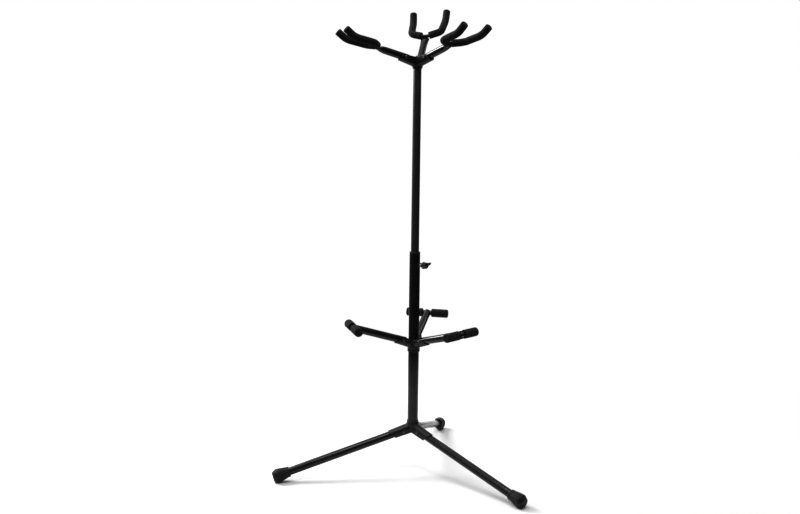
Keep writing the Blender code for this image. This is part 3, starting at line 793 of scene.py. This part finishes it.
def build_rest(side):
    node = f"{side}_rest_arm"
    place = arm_frame(f"{side}_rest_fold", node)
    low, high = extent(node, place)
    radius = high.y
    mesh = cut_back(turned(tube_profile(low.x, high.x, radius, REST_BORE)), low.x, REST_SLANT)
    bar_node = f"{side}_rest_bar"
    bar_low, bar_high = extent(bar_node, place)
    at_bar = place @ Matrix.Translation(X * (bar_low.x + bar_high.x) / 2)
    cope = cylinder(BAR_R + 0.05 * MM, -30 * MM, 30 * MM, ALONG_Y, ROUND)
    cope.transform(place.inverted() @ at_bar)
    mesh = combined(mesh, [("DIFFERENCE", cope)])
    detailed(node, "steel", drilled(mesh), place, GLOSS)

    bar = turned(tube_profile(bar_low.y, bar_high.y, BAR_R, BAR_BORE, GAP))
    across = at_bar @ ALONG_Y
    detailed(bar_node, "steel", bar, across, GLOSS)

    saddle = []
    for a in angles(BEAD_POINTS):
        y, z = (radius - 0.4 * MM) * math.cos(a), (radius - 0.1 * MM) * math.sin(a)
        x = -math.sqrt(max(BAR_R ** 2 - z ** 2, 0)) - 0.2 * MM
        saddle.append(Vector((x, y, z)))
    bead(f"{side}_rest_weld", saddle, 0.8 * MM, node, GLOSS, at_bar)

    for hand, sign in HANDS:
        build_sleeve(side, hand, sign, place, across)


def build_sleeve(side, hand, sign, place, across):
    """A ribbed foam sleeve on the crossbar, closed and chamfered at its outer end."""
    node = f"{side}_rest_sleeve_{hand}"
    low, high = extent(node, place)
    start, end = sorted((abs(low.y), abs(high.y)))
    bore = BAR_R + 0.1 * MM
    outer = [(start, SLEEVE_R - 0.7 * MM), (start + 0.5 * MM, SLEEVE_R - 0.15 * MM)]
    x = start + 1 * MM
    while x < end - 2.2 * MM:
        outer.append((x, ribbed(x, SLEEVE_R)))
        x += RIB / 6
    chamfer = [(2, 0.1), (1.4, 0.6), (0.6, 1.4), (0.1, 2.1), (0, 2.8), (0.1, 4.2), (0.7, 4.8)]
    outer += closed_end(end, SLEEVE_R, chamfer)
    profile = [(end - 2.6 * MM, 0.4 * MM), (end - 2.6 * MM, bore), (start, bore), *outer]
    if sign < 0:
        profile = [(-x, r) for x, r in profile]
    mesh = turned(profile, 56, closed=False)
    pale_ends(mesh, [start, end], sign)
    made = detailed(node, "foam", mesh, across, FOAM)


def closed_end(end, radius, chamfer):
    """A foam sleeve's chamfered end, from (mm before the end, mm below the surface) pairs."""
    pairs = [(end - back * MM, radius - below * MM) for back, below in chamfer]
    return pairs + [(end - (chamfer[-1][0] + 0.1) * MM, 0.4 * MM)]


def pale_ends(mesh, ends, sign):
    """Gives the cut faces at both ends of a sleeve along X the cut foam's material."""
    mesh.materials.append(FOAM)
    mesh.materials.append(FOAM_CUT)
    for face in mesh.polygons:
        x = face.center.x * sign
        near = x < ends[0] + 0.3 * MM or x > ends[1] - 0.9 * MM
        if near and abs(face.normal.x) > 0.75:
            face.material_index = 1


# ------------------------------ neck yokes


def rounded_path(corners, radii):
    """Points along straight runs joined by arcs; radii are for the inner corners."""
    step = math.radians(3)
    points = [Vector(corners[0])]
    for before, corner, after, radius in zip(corners, corners[1:], corners[2:], radii):
        back = (Vector(before) - Vector(corner)).normalized()
        ahead = (Vector(after) - Vector(corner)).normalized()
        turn = math.pi - back.angle(ahead)
        reach = radius * math.tan(turn / 2)
        middle = Vector(corner) + (back + ahead).normalized() * (radius / math.cos(turn / 2))
        first = (Vector(corner) + back * reach - middle).normalized()
        last = (Vector(corner) + ahead * reach - middle).normalized()
        count = max(3, round(turn / step))
        points += [middle + first.slerp(last, i / count) * radius for i in range(count + 1)]
    points.append(Vector(corners[-1]))
    return points


def half_yoke(sign):
    """Half a yoke's centre line, from its middle to its tip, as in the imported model."""
    corners = [(0, 0, 0), (0, 5, 0), (15, 36.5, 0), (64, 40.4, 0), (88.6, 41.9, 12.7)]
    path = rounded_path([Vector(c) * MM for c in corners], [10 * MM, 15 * MM, 45 * MM])
    return [Vector((p.x, p.y * sign, p.z)) for p in path]


def runs(path):
    run = [0.0]
    for one, two in zip(path, path[1:]):
        run.append(run[-1] + (two - one).length)
    return run


def along_path(path, run, distance):
    """The point at a distance along the path and the smoothed direction there."""
    i = 0
    while i < len(path) - 2 and distance > run[i + 1]:
        i += 1
    share = (distance - run[i]) / max(run[i + 1] - run[i], 1e-9)
    here = (path[i + 1] - path[i]).normalized()
    if share > 0.5 and i + 2 < len(path):
        here = here.lerp((path[i + 2] - path[i + 1]).normalized(), share - 0.5).normalized()
    elif share < 0.5 and i > 0:
        here = here.lerp((path[i] - path[i - 1]).normalized(), 0.5 - share).normalized()
    return path[i].lerp(path[i + 1], share), here


def swept(path, stations, sides, uneven=0.0):
    """Rings round the path at (distance, radius) stations, without twist."""
    run = runs(path)
    rings = []
    across = None
    for distance, radius in stations:
        centre, direction = along_path(path, run, distance)
        if across is None:
            across = Z.cross(direction).normalized()
        across = (across - direction * across.dot(direction)).normalized()
        up = direction.cross(across)
        points = ring(centre, across, up, radius, radius, sides)
        if uneven:
            points = [p + (p - centre).normalized() * (uneven * noise.noise(p * LUMPS)) for p in points]
        rings.append(points)
    return rings


def rod_frame(node, arm_place):
    """The yoke rod's own frame: origin at its middle, X between its prongs."""
    points = points_of(node)
    pivot = arm_place.translation
    across = arm_place.to_3x3() @ Y
    tips = []
    for sign in (1, -1):
        half = [p for p in points if (p - pivot).dot(across) * sign > 20 * MM]
        tips.append(farthest(half, pivot, 0.6 * MM))
    y = (tips[0] - tips[1]).normalized()
    tip_middle = (tips[0] + tips[1]) / 2
    middle = mean([p for p in points if abs((p - tip_middle).dot(y)) < 1 * MM])
    chord = tip_middle - middle
    path = half_yoke(1)
    end, _ = along_path(path, runs(path), runs(path)[-1] - FOAM_CAP - GAP)
    x = Matrix.Rotation(math.atan2(end.z, end.x), 3, y) @ chord.normalized()
    return framed(middle, x, y)


def build_yoke(side):
    arm, rod = f"{side}_yoke_arm", f"{side}_yoke_rod"
    place = arm_frame(f"{side}_yoke_fold", arm)
    build_yoke_arm(arm, place)
    at_rod = rod_frame(rod, place)
    build_rod(rod, at_rod)
    welds = (("inner", -4 * MM, -2.6 * MM, 6.6 * MM), ("outer", 2.8 * MM, -3.8 * MM, 5 * MM))
    for name, x, z, half in welds:
        run = [Vector((x, (i / 9 - 1) * half, z)) for i in range(19)]
        bead(f"{side}_yoke_weld_{name}", run, 1.1 * MM, arm, GLOSS, at_rod, closed=False)
    for hand, sign in HANDS:
        build_prong(side, hand, sign, at_rod)


def build_yoke_arm(node, place):
    """A round tube that is pressed flat towards the rod; stations are in mm from the rod's line."""
    low, high = extent(node, place)
    rod_line = high.x - 2 * MM
    start, lip = low.x, low.x + 0.5 * MM
    taper = [(-30, 8.4, 8.4, 0), (-20, 8.8, 8.2, 0), (-12, 9.5, 7.2, -0.2), (-8, 10, 5.6, -0.6)]
    taper += [(-5, 10.1, 4, -1.2), (-3, 9.8, 3, -2), (-1, 9, 2.3, -2.2), (1, 7.9, 2, -2.2)]
    taper += [(1.7, 7, 1.5, -2.2), (2, 6.2, 0.9, -2.2)]
    hollow = [(-30, 7.2, 7.2, 0), (-20, 7.6, 7, 0), (-12, 8.2, 5.9, -0.2), (-9, 8.5, 4.4, -0.5)]
    outer = [(start, YOKE_R - 0.5 * MM, YOKE_R - 0.5 * MM, 0), (lip, YOKE_R, YOKE_R, 0)]
    outer += flattening(rod_line, YOKE_R, taper)
    inner = [(start, YOKE_BORE + 0.3 * MM, YOKE_BORE + 0.3 * MM, 0), (lip, YOKE_BORE, YOKE_BORE, 0)]
    inner += flattening(rod_line, YOKE_BORE, hollow)
    rings = [ring(Vector((x, 0, z)), Y, Z, w, h, ROUND) for x, w, h, z in inner[::-1] + outer]
    detailed(node, "steel", drilled(cut_back(skin(rings), low.x, YOKE_SLANT)), place, GLOSS)


def build_rod(node, place):
    """The bent rod, with a small chamfer at each of its ends inside the foam."""
    right, left = half_yoke(-1), half_yoke(1)
    path = right[::-1] + left[1:]
    total = runs(path)[-1]
    cap = FOAM_CAP + GAP
    stations = [(cap, ROD_R - 0.8 * MM), (cap + 0.3 * MM, ROD_R - 0.3 * MM), (cap + 0.9 * MM, ROD_R)]
    step = 1.2 * MM
    count = round((total - 2 * cap) / step)
    straight = total - 2 * cap - 2 * step
    stations += [(cap + step + straight * i / count, ROD_R) for i in range(count + 1)]
    stations += [(total - d, r) for d, r in reversed(stations[:3])]
    detailed(node, "steel", skin(swept(path, stations, 32)), place, SATIN)


def flattening(end, radius, stations):
    """The arm's run from round to flat, eased between (x, half width, half height, centre height)."""
    steps = 6
    listed = [tuple(value * MM for value in station) for station in stations]
    listed = [(end + x, w, h, z) for x, w, h, z in listed]
    listed.insert(0, (listed[0][0] - 12 * MM, radius, radius, 0))
    eased = []
    for i in range(len(listed) - 1):
        points = [listed[max(i - 1, 0)], listed[i], listed[i + 1], listed[min(i + 2, len(listed) - 1)]]
        for k in range(steps):
            t = k / steps
            eased.append(tuple(spline(*(p[axis] for p in points), t) for axis in range(4)))
    eased.append(listed[-1])
    return eased


def spline(before, one, two, after, t):
    """A Catmull-Rom value between one and two."""
    a = 2 * one
    b = two - before
    c = 2 * before - 5 * one + 4 * two - after
    d = 3 * (one - two) + after - before
    return 0.5 * (a + b * t + c * t * t + d * t ** 3)


def build_prong(side, hand, sign, at_rod):
    """A ribbed foam sleeve over half the yoke, closed and chamfered at the tip."""
    node = f"{side}_yoke_foam_{hand}"
    path = half_yoke(sign)
    total = runs(path)[-1]
    start = (10 if side == "rear" else 8.5) * MM  # the rear pair leaves more of the rod bare
    bore = ROD_R + 0.15 * MM
    opening = [(0, 0.9), (0.25, 0.4), (0.8, 0.1)]
    outer = [(start + on * MM, FOAM_R - below * MM) for on, below in opening]
    distance = start + 1.2 * MM
    while distance < total - 2.4 * MM:
        outer.append((distance, ribbed(distance, FOAM_R)))
        distance += RIB / 5
    chamfer = [(2, 0.15), (1.4, 0.6), (0.7, 1.4), (0.2, 2.1), (0, 2.7), (0.05, 3.8), (0.5, 4.3)]
    outer += closed_end(total, FOAM_R, chamfer)
    count, sides = 60, 40
    deep = total - FOAM_CAP
    inner = [(deep, 0.4 * MM)] + [(deep + (start - deep) * i / count, bore) for i in range(count + 1)]
    inner_rings = swept(path, inner[::-1], sides)[::-1]
    outer_rings = swept(path, outer, sides, uneven=0.25 * MM)
    mesh = skin(inner_rings + outer_rings)
    mesh.materials.append(FOAM)
    mesh.materials.append(FOAM_CUT)
    run = runs(path)
    tip, tip_way = along_path(path, run, total)
    foot, foot_way = along_path(path, run, start)
    tip_reach, foot_reach, facing = 6.4 * MM, 9 * MM, 0.8
    for face in mesh.polygons:
        at_tip = (face.center - tip).length < tip_reach and face.normal.dot(tip_way) > facing
        at_foot = (face.center - foot).length < foot_reach and face.normal.dot(foot_way) < -facing
        face.material_index = 1 if at_tip or at_foot else 0
    mesh.transform(at_rod)
    made = detailed(node, "foam", mesh, Matrix.Identity(4), FOAM)


# ------------------------------ clamp


def clamp_place():
    """X runs out along the clamp screw from the column's axis."""
    outwards = axis_of("clamp_travel")
    return framed(pivot_of("clamp_turn"), outwards, outwards.cross(Z))


def build_clamp():
    place = clamp_place()
    _, high = extent("clamp_boss", place)
    radius, root, end = high.z, 9 * MM, high.x
    corners = [
        (root, radius, 0), (end - 1 * MM, radius, 0.3 * MM), (end, radius - 1 * MM, 0.3 * MM),
        (end, SCREW_BORE, 0.3 * MM), (root, SCREW_BORE, 0),
    ]
    saddle = cylinder(TUBE_R + 0.05 * MM, -20 * MM, 20 * MM, ALONG_Z, FINE)
    mesh = combined(turned(filleted(corners)), [("DIFFERENCE", saddle)])
    detailed("clamp_boss", "turned", mesh, place, GLOSS)
    path = []
    for a in angles(BEAD_POINTS):
        y, z = (radius + 0.2 * MM) * math.cos(a), (radius + 0.2 * MM) * math.sin(a)
        path.append(Vector((math.sqrt(TUBE_R ** 2 - y ** 2) + 0.2 * MM, y, z)))
    bead("clamp_boss_weld", path, 0.9 * MM, "clamp_boss", SATIN, place)

    low, high = extent("clamp_screw", place)
    pitch, thread_depth = 1 * MM, 0.45 * MM
    collar_r, collar_start, collar_end = 5.2 * MM, 17.4 * MM, 24.3 * MM

    def threaded(x, r, a):
        if abs(r - SCREW_R) > 0.1 * MM:
            return r
        turn = (x / pitch - a / (2 * math.pi)) % 1
        return r - thread_depth * abs(2 * turn - 1)

    def shank(first, last):
        count = round((last - first) / (0.2 * MM))
        return [(first + (last - first) * i / count, SCREW_R) for i in range(count + 1)]

    collar = filleted([
        (collar_start, SCREW_R - 0.5 * MM, 0), (collar_start, collar_r, 0.5 * MM),
        (collar_end, collar_r, 0.5 * MM), (collar_end, SCREW_R - 0.5 * MM, 0),
    ], closed=False)
    clear = 0.2 * MM
    profile = [(low.x, 1.8 * MM), (low.x + 0.6 * MM, 2.3 * MM)]
    profile += [*shank(low.x + 1.2 * MM, collar_start - clear), *collar]
    profile += [*shank(collar_end + clear, high.x - 1 * MM)]
    profile += [(high.x - 0.4 * MM, 2.5 * MM), (high.x, 2 * MM)]
    detailed("clamp_screw", "threaded", turned(profile, 40, closed=False, shape=threaded), place, STEEL)
    build_wing(place)


def signed_power(value, power):
    """A power below 1 squares a circle off."""
    return math.copysign(abs(value) ** power, value)


def build_wing(place):
    """A moulded wing head: a round boss with two swept wings, softened as one moulding."""
    start = extent("clamp_wing", place)[0].x
    end = start + 13.3 * MM
    corners = [
        (start, 0.5 * MM, 0), (start, 7.4 * MM, 0.6 * MM), (start + 1.2 * MM, 8 * MM, 0.6 * MM),
        (end - 2 * MM, 7.2 * MM, 1.5 * MM), (end, 5 * MM, 1.5 * MM), (end + 0.3 * MM, 0.5 * MM, 0),
    ]
    body = turned(filleted(corners, False), 48, closed=False)
    rings = []
    span, slices, sides = 15 * MM, 41, 32
    for i in range(slices):
        share = 2 * i / (slices - 1) - 1
        reach = abs(share)
        near = start + (1.6 + 5.2 * reach ** 2.2) * MM
        far = end + (1.2 + 1.6 * math.sin(min(reach, 1) * math.pi * 0.75)) * MM
        close = math.sqrt(max(1 - reach ** 6, 0.02))
        middle, half_x = (near + far) / 2, (far - near) / 2 * (0.55 + 0.45 * close)
        half_z = (2.3 - 0.3 * reach) * MM * (0.4 + 0.6 * close)
        points = []
        for a in angles(sides):
            x = middle + half_x * signed_power(math.cos(a), 0.6)
            points.append(Vector((x, share * span, half_z * signed_power(math.sin(a), 0.8))))
        rings.append(points)
    socket = cylinder(SCREW_BORE, start - 5 * MM, start + 9.5 * MM)
    mesh = combined(body, [("UNION", skin(rings)), ("DIFFERENCE", socket)])
    mesh = softened(mesh, 0.35 * MM, rounds=3)
    roll = Matrix.Rotation(WING_ROLL, 4, "X")
    detailed("clamp_wing", "moulded", mesh, place @ roll, PLASTIC, sharp=60)


# ------------------------------ studio


FLOOR_NEAR, FLOOR_R = 0.55, 1.15  # where the floor starts to fade, and where it ends
VIEW_TURN = math.radians(13.03)  # the main view looks along +Y, turned this far towards -X
CEILING, WALL = Vector((-0.42, 0.1, 0.9)), Y  # where the light comes from, seen in the main view


def build_camera():
    """The main view's camera, placed from the column's foot."""
    away, height = 2.3166, 0.8643
    yaw, pitch, roll = math.radians(-0.88), math.radians(8.21), math.radians(0.65)
    level = math.cos(pitch)
    forward = Vector((math.sin(yaw) * level, math.cos(yaw) * level, -math.sin(pitch)))
    right = Vector((math.cos(yaw), -math.sin(yaw), 0))
    up = right.cross(forward)
    tilted_right = right * math.cos(roll) + up * math.sin(roll)
    tilted_up = up * math.cos(roll) - right * math.sin(roll)
    turn = Matrix.Translation(COLUMN) @ Matrix.Rotation(VIEW_TURN, 4, "Z")
    axes = Matrix((tilted_right, tilted_up, -forward)).transposed().to_4x4()
    camera = add_object("camera", bpy.data.cameras.new("camera"))
    camera.matrix_world = turn @ Matrix.Translation((0, -away, height)) @ axes
    camera.data.sensor_width = 36
    camera.data.lens = 44.0
    camera.data.clip_start, camera.data.clip_end = 0.05, 50
    bpy.context.scene.camera = camera


def build_floor():
    """A pale round of floor that fades out into the white surroundings."""
    count = 20
    radii = [FLOOR_R * i / count for i in range(1, count + 1)]
    mesh = skin([ring(COLUMN, X, Y, radius, radius, FINE) for radius in radii], caps=(0,))
    floor = add_object("floor", mesh)
    surface = material("floor_paper", (0.78, 0.78, 0.78))
    colour_between(surface, noise_layer(surface, 3), (0.775, 0.775, 0.775), (0.79, 0.79, 0.79))
    roughness_between(surface, noise_layer(surface, 8), 0.75, 0.85)
    fade_out(surface, FLOOR_NEAR, FLOOR_R)
    mesh.materials.append(surface)


def fade_out(made, near, far):
    """Lets the surface vanish between two distances from the column's foot."""
    tree = made.node_tree
    offset = add_node(tree, "ShaderNodeVectorMath", {0: own_place(tree), 1: COLUMN}, "DISTANCE")
    fade = add_node(tree, "ShaderNodeMapRange", {
        "Value": offset.outputs["Value"], "From Min": near, "From Max": far, "To Min": 1, "To Max": 0,
    })
    fade.interpolation_type = "SMOOTHSTEP"
    shade(made, {"Alpha": fade.outputs["Result"]})


def towards(tree, direction):
    """How nearly a ray of the world goes in a direction of the main view."""
    ray = add_node(tree, "ShaderNodeTexCoord", {}).outputs["Generated"]
    aim = Matrix.Rotation(VIEW_TURN, 3, "Z") @ direction
    return add_node(tree, "ShaderNodeVectorMath", {0: ray, 1: aim}, "DOT_PRODUCT").outputs["Value"]


def build_world():
    """White to the camera; to the object, a lit ceiling, a bright back wall and a dim front."""
    world = bpy.data.worlds.new("studio")
    bpy.context.scene.world = world
    world.use_nodes = True
    tree = world.node_tree
    half = add_node(tree, "ShaderNodeMapRange", {"Value": towards(tree, CEILING), "From Min": -1})
    ramp = add_node(tree, "ShaderNodeValToRGB", {"Fac": half.outputs["Result"]})
    ramp.color_ramp.interpolation = "EASE"
    stops = [(0.30, 0.045), (0.6, 0.11), (0.8, 0.45), (0.97, 1.0)]
    elements = ramp.color_ramp.elements
    for i, (position, value) in enumerate(stops):
        element = elements[i] if i < 2 else elements.new(position)
        element.position = position
        element.color = (value, value, value, 1)
    values = {"Value": towards(tree, WALL), "From Min": 0.8, "To Max": 1.6}
    wall = add_node(tree, "ShaderNodeMapRange", values)
    wall.interpolation_type = "SMOOTHSTEP"
    total = add_node(tree, "ShaderNodeMath", {0: ramp.outputs["Color"], 1: wall.outputs["Result"]})
    camera_ray = add_node(tree, "ShaderNodeLightPath", {}).outputs["Is Camera Ray"]
    seen = colour_mix(tree, camera_ray, total.outputs["Value"], (1, 1, 1))
    set_inputs(tree, tree.nodes["Background"], {"Color": seen})


def add_light(name, kind, energy, place, target, size):
    """A light placed and aimed in the main view's directions, from the column's foot."""
    data = bpy.data.lights.new(name, kind)
    data.energy = energy
    if kind == "AREA":
        data.shape = "RECTANGLE"
        data.size, data.size_y = size
    else:
        data.angle = size[0]
    light = add_object(name, data)
    turn = Matrix.Rotation(VIEW_TURN, 3, "Z")
    light.location = COLUMN + turn @ Vector(place)
    aim = COLUMN + turn @ Vector(target) - light.location
    light.rotation_euler = aim.to_track_quat("-Z", "Y").to_euler()


def build_lights():
    add_light("ceiling", "SUN", 0.45, (-0.4, -0.3, 3), (0, 0, 0), (math.radians(70),))
    add_light("key", "AREA", 66, (-1.75, 0.9, 1.75), (0, 0, 0.5), (0.9, 1.2))
    add_light("top", "AREA", 19, (0, -0.75, 2.7), (0, 0, 0.1), (1.3, 0.4))
    add_light("rim", "AREA", 6, (1.5, 1.3, 1.7), (0, 0, 0.6), (0.9, 1.4))


def main():
    build_camera()
    build_column()
    build_mast()
    build_brackets()
    for side in SIDES:
        build_leg(side)
        build_rest(side)
        build_yoke(side)
        for part in ("leg", "rest", "yoke"):
            build_rivet(f"{side}_{part}_rivet", f"{side}_{part}_fold")
    build_clamp()
    build_floor()
    build_world()
    build_lights()
    bpy.context.scene.view_settings.view_transform = "Standard"
    bpy.context.scene.view_settings.gamma = 0.7


main()
